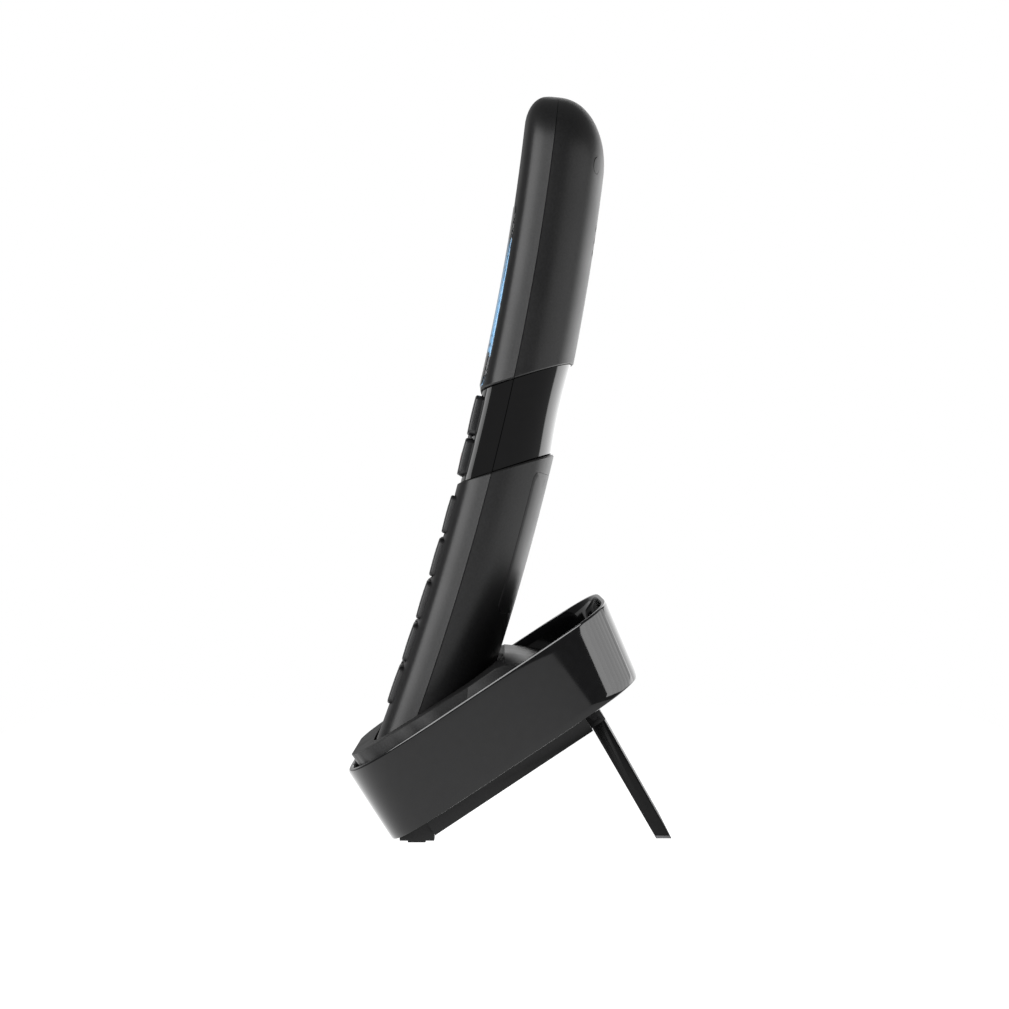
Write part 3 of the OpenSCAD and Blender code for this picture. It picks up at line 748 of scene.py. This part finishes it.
def key_cutters():
    """Cutters for the keypad's keys, then for the four waist keys and the rocker."""
    cutters = []
    for angle, x0, half in KEY_PLACES.values():
        outline = rect(half[0] + KEY_GAP, half[1] + KEY_GAP, KEY_CORNER + 0.55)
        cutters.append(hole_cutter(-1, angle, x0, 0, outline, 5.0, 0.16))
    cutters.append(hole_cutter(-1, math.radians(ROCKER["angle"]), 0, 0,
                               rect(ROCKER["half"][0] + 0.5, ROCKER["half"][1] + 0.5, 2.1), 5.0, 0.16))
    return cutters


def front_shell():
    verts, faces = seam_closed(-1)
    obj = piece("handset_front_shell", verts, faces, "handset", SHELL, "shell_plastic", ["front_shell"], 35)
    cutters = key_cutters()
    window_hole = rect(LENS_HALF[0] + 0.12, LENS_HALF[1] + 0.12, 3.1, 8, 12)
    cutters.append(hole_cutter(-1, LENS_ANGLE, 0, 0, window_hole, 5, 0.12))
    cutters.append(hole_cutter(-1, EAR_ANGLE, 0, 0, rect(6, 1.1, 1.05, 8, 6), 4, 0.2))
    cutters.append(hole_cutter(-1, MIC_ANGLE, 0, 0, disc(0.6), 4, 0.12))
    cut(obj, cutters, 35)


def back_height(angle, below):
    """Height function of the handset's back, below its surface."""
    return lambda x, s: skin_at(1, angle, x, s) - below


def screw_plug(angle, x):
    layers = [(0, back_height(angle, 1.2)), (0, back_height(angle, 0.1)), (-0.08, back_height(angle, 0))]
    return slab_on_skin(angle, x, 0, disc(2.02), layers, 4, back_height(angle, 0))


def rear_shell():
    verts, faces = seam_closed(1)
    obj = piece("handset_rear_shell", verts, faces, "handset", SHELL, "shell_plastic", ["rear_shell"], 35)
    door_hole = rect(DOOR_HALF[0] + 0.04, DOOR_HALF[1] + 0.04, 2.04, 8, 12)
    cutters = [hole_cutter(1, DOOR_ANGLE, 0, 0, door_hole, 6, 0.01)]
    for i in range(-2, 3):
        for j in range(-1, 2):
            cutters.append(hole_cutter(1, SPEAKER_ANGLE, i * 3.0, j * 3.0, disc(0.7, 20), 4, 0.1))
    screws = [(angle, x) for angle in SCREW_ANGLES for x in (-SCREW_X, SCREW_X)]
    cutters += [hole_cutter(1, angle, x, 0, disc(2.05), 8, 0.02) for angle, x in screws]
    cut(obj, cutters, 35)
    plugs = merged([screw_plug(angle, x) for angle, x in screws])
    piece("screw_plugs", *plugs, "handset", SHELL, "shell_plastic", (), 35)


def band_depth(d, t, phi):
    """The rear band is a shallow finger groove: deepest half way along and at the middle of the back."""
    back_r = SEAM_R + BACK_DEPTH - 0.8
    low, high = band_angle(BAND_BOTTOM, back_r), band_angle(BAND_TOP, back_r)
    share = min(max((t - low) / (high - low), 0), 1)
    return d + GROOVE_DIP * math.sin(math.pi * share) * math.sin(phi) ** 2


def band_half(side, name, node):
    phis = section_angles(side, 34)
    columns = len(phis)
    low, high = (lambda r: band_angle(BAND_BOTTOM, r, 0.15)), (lambda r: band_angle(BAND_TOP, r, -0.15))
    edge = 0.15 / SEAM_R
    shares = [k / 18 for k in range(19)]
    outer = [(low, BAND_RECESS + 0.12)]
    outer += [(between(lambda r: low(r) + edge, lambda r: high(r) - edge, s), BAND_RECESS) for s in shares]
    outer += [(high, BAND_RECESS + 0.12)]
    inner = [(between(high, low, k / 20), BAND_RECESS + BAND_T) for k in range(21)]
    depth_of = band_depth if side > 0 else plain_depth
    verts = skin_grid(side, phis, outer + inner, depth_of)
    rows = len(outer + inner)
    faces = grid_faces(rows, columns)
    faces += [[j, j + 1, (rows - 1) * columns + j + 1, (rows - 1) * columns + j] for j in range(columns - 1)]
    for j in (0, columns - 1):
        for i in range(rows // 2 - 1):
            faces.append([k * columns + j for k in (i, i + 1, rows - 2 - i, rows - 1 - i)])
    obj = piece(name, verts, faces, "handset", BAND, "band_gloss", [node], 30)
    return obj


front_shell()
rear_shell()
band_front = band_half(-1, "waist_band_front_skin", "waist_band_front")
keypad_count = sum(len(row_names) for row_names in KEY_ROWS)
cut(band_front, key_cutters()[keypad_count:], 30)
band_half(1, "waist_band_rear_skin", "waist_band_rear")


# ------------------------------------------------------------------ window and display
def window_height(d):
    """Height function of the front, d below its surface."""
    return lambda x, s: skin_at(-1, LENS_ANGLE, x, s) + d


def window_face(x, s):
    """The window's outer face: proud of the shell at its lower end, nearly flush at its upper end."""
    return window_height(0.13 * s / LENS_HALF[1] - 0.27)(x, s)


def make_window():
    outline = rect(LENS_HALF[0], LENS_HALF[1], 3.0, 8, 14)
    layers = [(-0.05, window_height(1.0)), (0, window_height(0.95))]
    layers += rounded_edge(window_face, 0.3, 4)
    verts, faces = slab_on_skin(LENS_ANGLE, 0, 0, outline, layers, 16, window_face)
    piece("display_window", verts, faces, "handset", GLASS, "window", ["display_lens"], 40)


def under_window(name, half_w, half_l, radius, high, low, material):
    """A thin sheet behind the window, following its curve between two depths."""
    outline = rect(half_w, half_l, radius, 6, 14)
    layers = [(0, window_height(low)), (0, window_height(high))]
    verts, faces = slab_on_skin(LENS_ANGLE, 0, 0, outline, layers, 14, window_height(high))
    piece(name, verts, faces, "handset", material, "display", (), 40)


SCREEN_HALF = (15.5, 13.6)
make_window()
under_window("display_mask", 19.2, 21.1, 2.8, 1.12, 1.5, MASK)
under_window("display_screen", SCREEN_HALF[0], SCREEN_HALF[1], 0.8, 1.06, 1.3, SCREEN)


def display_art():
    """A clock, signal and battery marks, two plain lines, and two soft-key marks."""
    art = [flat_text("10:45", 6.4)]
    art[0] = ([(x, y + 4.6, z) for x, y, z in art[0][0]], art[0][1])
    art += [bar(-14.2 + 1.1 * k, 10.6, -13.5 + 1.1 * k, 11.3 + 0.55 * k) for k in range(4)]
    art += [bar(10.4, 10.6, 13.9, 10.85), bar(10.4, 12.35, 13.9, 12.6), bar(10.43, 10.8, 10.68, 12.4),
            bar(13.62, 10.8, 13.87, 12.4), bar(13.85, 11.3, 14.3, 11.9)]
    art += [bar(10.9 + 0.9 * k, 11.05, 11.5 + 0.9 * k, 12.15) for k in range(3)]
    art += [bar(-14.2, 9.55, 14.2, 9.75), bar(-8.0, -1.6, 8.0, -1.1), bar(-5.0, -4.1, 5.0, -3.6)]
    art += [bar(-14.2, -9.75, 14.2, -9.55), bar(-14.0, -12.3, -8.5, -11.5), bar(8.5, -12.3, 14.0, -11.5)]
    return merged(art)


print_on("display_marks", display_art(), "handset", LENS_ANGLE, 0, window_height(1.05), SCREEN_INK, "display",
         lift=0.0)


# ------------------------------------------------------------------ battery door
def make_door():
    """The battery door, with finger grooves that narrow towards its free end."""
    outline = rect(DOOR_HALF[0], DOOR_HALF[1], 2.0, 8, 12)
    face = back_height(DOOR_ANGLE, 0)
    layers = [(0, back_height(DOOR_ANGLE, SHELL_T)), (0, back_height(DOOR_ANGLE, 0.02)), (-0.02, face)]
    verts, faces = slab_on_skin(DOOR_ANGLE, 0, 0, outline, layers, 16, face)
    door = piece("battery_door_skin", verts, faces, "battery_door", SHELL, "shell_plastic",
                 ["battery_door"], 35)
    groove = [(grow, back_height(DOOR_ANGLE, below))
              for grow, below in ((-0.2, 0.45), (0, 0.2), (0.25, -0.3))]
    grooves = [slab_on_skin(DOOR_ANGLE, 0, 7.6 + 1.5 * k, rect(6.5 - 0.9 * k, 0.4, 0.39, 4, 6), groove)
               for k in range(5)]
    cut(door, grooves, 35)


make_door()


# ------------------------------------------------------------------ base frame tools
def on_base(x, s, h):
    """A point in the rim's frame: s up along the rim and h square to it."""
    c, n = math.cos(TILT), math.sin(TILT)
    return (x, RIM_Y + s * c - h * n, RIM_Z + s * n + h * c)


def plan_loop(front, back, half, front_power, back_power, angles):
    """The base's outline: half superellipses in front and behind, through the given parameters."""
    mid, reach = (front + back) / 2, (back - front) / 2
    loop = []
    for t in angles:
        power = front_power if math.sin(t) < 0 else back_power
        loop.append((half * power_cos(t, power), mid + reach * power_sin(t, power)))
    return loop


def plan_angles(steps):
    back = list(quarter_angles(40, 36.4, RING_BACK_POWER, steps))
    front = list(quarter_angles(40, 36.4, RING["power"][0], steps))
    loop = back + [math.pi - t for t in back[-2::-1]]
    loop += [math.pi + t for t in front[1:]] + [2 * math.pi - t for t in front[-2:0:-1]]
    return loop


PLAN = plan_angles(40)


def ring_loop(h, inset):
    f = min(max(-h / RING_H, -0.1), 1.1)
    at = {k: v[0] + f * (v[1] - v[0]) for k, v in RING.items()}
    loop = plan_loop(at["front"] + inset, at["back"] - inset, at["half"] - inset, at["power"],
                     RING_BACK_POWER, PLAN)
    return [on_base(x, s, h) for x, s in loop]


def make_ring():
    """The gloss ring: rounded lower edge, outer wall, rounded rim and inner wall, as (height, inset) rows."""
    foot, rim, inner_edge = 0.35, 0.6, 0.25
    rows = [(-RING_H, foot), (-RING_H + 0.1, 0.1), (-RING_H + foot, 0.0)]
    rows += [(-RING_H + foot + (RING_H - foot - rim) * k / 12, 0.0) for k in range(1, 12)]
    rows += [(rim * (math.sin(a) - 1), rim * (1 - math.cos(a))) for a in np.linspace(0, math.pi / 2, 7)]
    rows += [(-0.05, RING_T - 0.12), (-inner_edge, RING_T)]
    rows += [(-inner_edge - (RING_H - foot) * k / 8, RING_T) for k in range(1, 9)]
    rings = [ring_loop(h, inset) for h, inset in rows]
    rings.append(ring_loop(-RING_H, RING_T - 0.1))
    count = len(PLAN)
    verts = [p for ring in rings for p in ring]
    faces = grid_faces(len(rings), count, wrap=True)
    last = (len(rings) - 1) * count
    faces += [[last + j, last + (j + 1) % count, (j + 1) % count, j] for j in range(count)]
    piece("base_ring_skin", verts, faces, "base", RING_MAT, "ring_gloss", ["base_ring"], 40)


make_ring()


# ------------------------------------------------------------------ refined CAD shapes
def refine(node, name, body, material, bevel_mm):
    """A copy of a CAD node with its sharp edges rounded over."""
    mesh = frame["nodes"][node].data.copy()
    bm = bmesh.new()
    bm.from_mesh(mesh)
    bmesh.ops.remove_doubles(bm, verts=bm.verts, dist=0.002 * MM)
    bmesh.ops.dissolve_limit(bm, angle_limit=math.radians(0.3), verts=bm.verts, edges=bm.edges)
    edges = [e for e in bm.edges if e.is_manifold and e.calc_face_angle(0) > math.radians(30)]
    bmesh.ops.bevel(bm, geom=edges, offset=bevel_mm * MM, segments=3, profile=0.5, affect="EDGES",
                    clamp_overlap=True)
    bmesh.ops.recalc_face_normals(bm, faces=bm.faces)
    bm.to_mesh(mesh)
    bm.free()
    mesh.name = name
    if mesh.has_custom_normals:
        mesh.normals_split_custom_set_from_vertices([(0, 0, 0)] * len(mesh.vertices))
    return finish_piece(name, mesh, body, material, [node], 35)


refine("cradle_insert", "cradle_insert_skin", "base", CRADLE, 0.35)
refine("bottom_cover", "bottom_cover_skin", "base", COVER, 0.3)
refine("support_leg", "support_leg_skin", "leg", LEG, 0.35)
refine("leg_foot_pad", "leg_foot_pad_skin", "leg", LEG_RUBBER, 0.12)
refine("front_foot_pads", "front_foot_pad_skins", "base", RUBBER, 0.15)
refine("page_key", "page_key_cap", "page_key", CRADLE, 0.4)
for side_name in ("left", "right"):
    contact = f"charge_contact_{side_name}"
    refine(contact, contact + "_blade", contact, GOLD, 0.3)

CAD_MATERIALS = {
    "display_module": MASK, "display_board": BOARD, "board_ribbon": RIBBON, "keypad_board": BOARD,
    "keypad_mat": SILICONE, "earpiece_grille": GRILLE, "earpiece_speaker": SPEAKER, "loudspeaker": SPEAKER,
    "microphone": GOLD, "battery_tray": TRAY, "battery_pack": WRAP, "handset_charge_pads": GOLD,
    "handset_screws": STEEL, "base_board": BOARD, "contact_block": TRAY, "page_switch": TRAY,
    "power_socket": TRAY, "line_socket": TRAY, "base_screws": STEEL, "leg_hinge_pin": COVER}
for cad_node, cad_material in CAD_MATERIALS.items():
    cad_mesh = frame["nodes"][cad_node].data
    cad_mesh.materials.clear()
    cad_mesh.materials.append(cad_material)

# ------------------------------------------------------------------ floor, light and camera
CAMERA_AT = (0.510, -0.0006, 0.0772)
LENS_MM = 75.5


def stage_floor():
    mesh = bpy.data.meshes.new("studio_floor")
    back_x, front_x, half_y = -0.3, 0.33, 0.17
    corners = [(back_x, -half_y, 0), (front_x, -half_y, 0), (front_x, half_y, 0), (back_x, half_y, 0)]
    mesh.from_pydata(corners, [], [[0, 1, 2, 3]])
    material, nodes, links, shader = new_material("studio_floor")
    shader.inputs["Base Color"].default_value = (0.03, 0.03, 0.03, 1)
    shader.inputs["Roughness"].default_value = 0.9
    shader.inputs["Specular IOR Level"].default_value = 0.0
    shader.inputs["Emission Color"].default_value = (1, 1, 1, 1)
    coordinates = nodes.new("ShaderNodeTexCoord")
    distance = nodes.new("ShaderNodeVectorMath")
    distance.operation = "LENGTH"
    links.new(coordinates.outputs["Object"], distance.inputs[0])
    # painted pool of light: the floor's emission is strongest near its middle, under the object, and falls
    # off to an even white further out
    painted_light_pool = nodes.new("ShaderNodeMapRange")
    painted_light_pool.interpolation_type = "SMOOTHSTEP"
    painted_light_pool.inputs["From Min"].default_value = 0.03
    painted_light_pool.inputs["From Max"].default_value = 0.26
    painted_light_pool.inputs["To Min"].default_value = 1.3
    painted_light_pool.inputs["To Max"].default_value = 1.02
    links.new(distance.outputs["Value"], painted_light_pool.inputs["Value"])
    links.new(painted_light_pool.outputs["Result"], shader.inputs["Emission Strength"])
    mesh.materials.append(material)
    floor = bpy.data.objects.new("studio_floor", mesh)
    floor.location.z = -0.0001
    bpy.context.scene.collection.objects.link(floor)


def softbox(name, at, size, power, aim=(0, 0, 0.09), receivers=()):
    data = bpy.data.lights.new(name, "AREA")
    data.shape = "RECTANGLE"
    data.size, data.size_y = size
    data.energy = power
    lamp = bpy.data.objects.new(name, data)
    lamp.location = at
    lamp.rotation_euler = (Vector(aim) - Vector(at)).to_track_quat("-Z", "Y").to_euler()
    lamp.visible_camera = False
    bpy.context.scene.collection.objects.link(lamp)
    if receivers:
        group = bpy.data.collections.new(name + "_receivers")
        for receiver in receivers:
            group.objects.link(receiver)
        lamp.light_linking.receiver_collection = group


def corner_softboxes(receivers):
    """Panels side by side round the ring's back corner, dimmer the more the corner turns away."""
    corner_x, corner_y, middle_z, reach = 0.03, 0.02, 0.33, 0.8
    width, height = 0.182, 0.66
    for number, radiance in enumerate((5.8, 5.3, 4.7, 4.0, 3.2, 2.3, 1.3)):
        bearing = math.radians(57 + 13 * number)
        at = (corner_x + reach * math.cos(bearing), corner_y + reach * math.sin(bearing), middle_z)
        softbox(f"corner_softbox_{number}", at, (width, height), radiance * math.pi * width * height,
                (corner_x, corner_y, middle_z), receivers)


def studio_world():
    """White for the camera's own rays; for all others bright behind the object and dim elsewhere."""
    world = bpy.data.worlds.new("studio")
    bpy.context.scene.world = world
    world.use_nodes = True
    nodes, links = world.node_tree.nodes, world.node_tree.links
    background = nodes["Background"]
    coordinates = nodes.new("ShaderNodeTexCoord")
    split = nodes.new("ShaderNodeSeparateXYZ")
    links.new(coordinates.outputs["Generated"], split.inputs["Vector"])
    x, y, z = split.outputs["X"], split.outputs["Y"], split.outputs["Z"]

    def step(value, low, high, low_value=0.0, high_value=1.0):
        node = nodes.new("ShaderNodeMapRange")
        node.inputs["From Min"].default_value = low
        node.inputs["From Max"].default_value = high
        node.inputs["To Min"].default_value = low_value
        node.inputs["To Max"].default_value = high_value
        links.new(value, node.inputs["Value"])
        return node.outputs["Result"]

    def combine(operation, first, second):
        node = nodes.new("ShaderNodeMath")
        node.operation = operation
        links.new(first, node.inputs[0])
        links.new(second, node.inputs[1])
        return node.outputs["Value"]

    def product(first, *others):
        for other in others:
            first = combine("MULTIPLY", first, other)
        return first

    raised = combine("ADD", x, step(z, 0.05, 0.25, 0.0, 0.28))
    behind = product(step(raised, -0.60, -0.56, 1.5, 0.0), step(y, -0.02, 0.02))
    front_edge = product(step(x, -0.86, -0.82, 0.18, 0.0), step(y, -0.02, 0.02, 1.0, 0.0))
    total = step(z, -0.2, 0.9, 0.20, 0.16)
    for panel in (behind, front_edge):
        total = combine("ADD", total, panel)
    path = nodes.new("ShaderNodeLightPath")
    mix = nodes.new("ShaderNodeMix")
    mix.data_type = "RGBA"
    links.new(path.outputs["Is Camera Ray"], mix.inputs["Factor"])
    links.new(total, mix.inputs["A"])
    mix.inputs["B"].default_value = (1, 1, 1, 1)
    links.new(mix.outputs["Result"], background.inputs["Color"])


def make_camera():
    data = bpy.data.cameras.new("camera")
    data.lens = LENS_MM
    data.clip_start, data.clip_end = 0.01, 50
    camera = bpy.data.objects.new("camera", data)
    camera.location = CAMERA_AT
    camera.rotation_euler = (math.radians(90), 0, math.radians(90))
    bpy.context.scene.collection.objects.link(camera)
    bpy.context.scene.camera = camera


stage_floor()
studio_world()
glossy = ("base_ring_skin", "waist_band_front_skin", "waist_band_rear_skin")
matte = [o for o in bpy.context.scene.objects
         if o.type == "MESH" and o.name != "studio_floor" and o.name not in glossy]
shell_names = ("handset_front_shell", "handset_rear_shell", "battery_door_skin")
shells = [bpy.data.objects[name] for name in shell_names]
bands = [bpy.data.objects["waist_band_front_skin"]]
rings = [bpy.data.objects["base_ring_skin"]]
softbox("front_softbox", (0.76, -0.64, 0.30), (1.2, 1.1), 15, receivers=matte)
softbox("back_softbox", (0.2, 0.97, 0.0), (1.2, 0.8), 2.6, receivers=shells)
softbox("band_softbox", (-0.35, -0.9, 0.25), (0.9, 1.0), 4.0, receivers=bands)
softbox("rim_softbox", (0.25, -0.45, 0.85), (1.2, 1.2), 42, receivers=rings)
corner_softboxes(rings)
make_camera()
bpy.context.scene.view_settings.view_transform = "Standard"

bpy.context.view_layer.update()
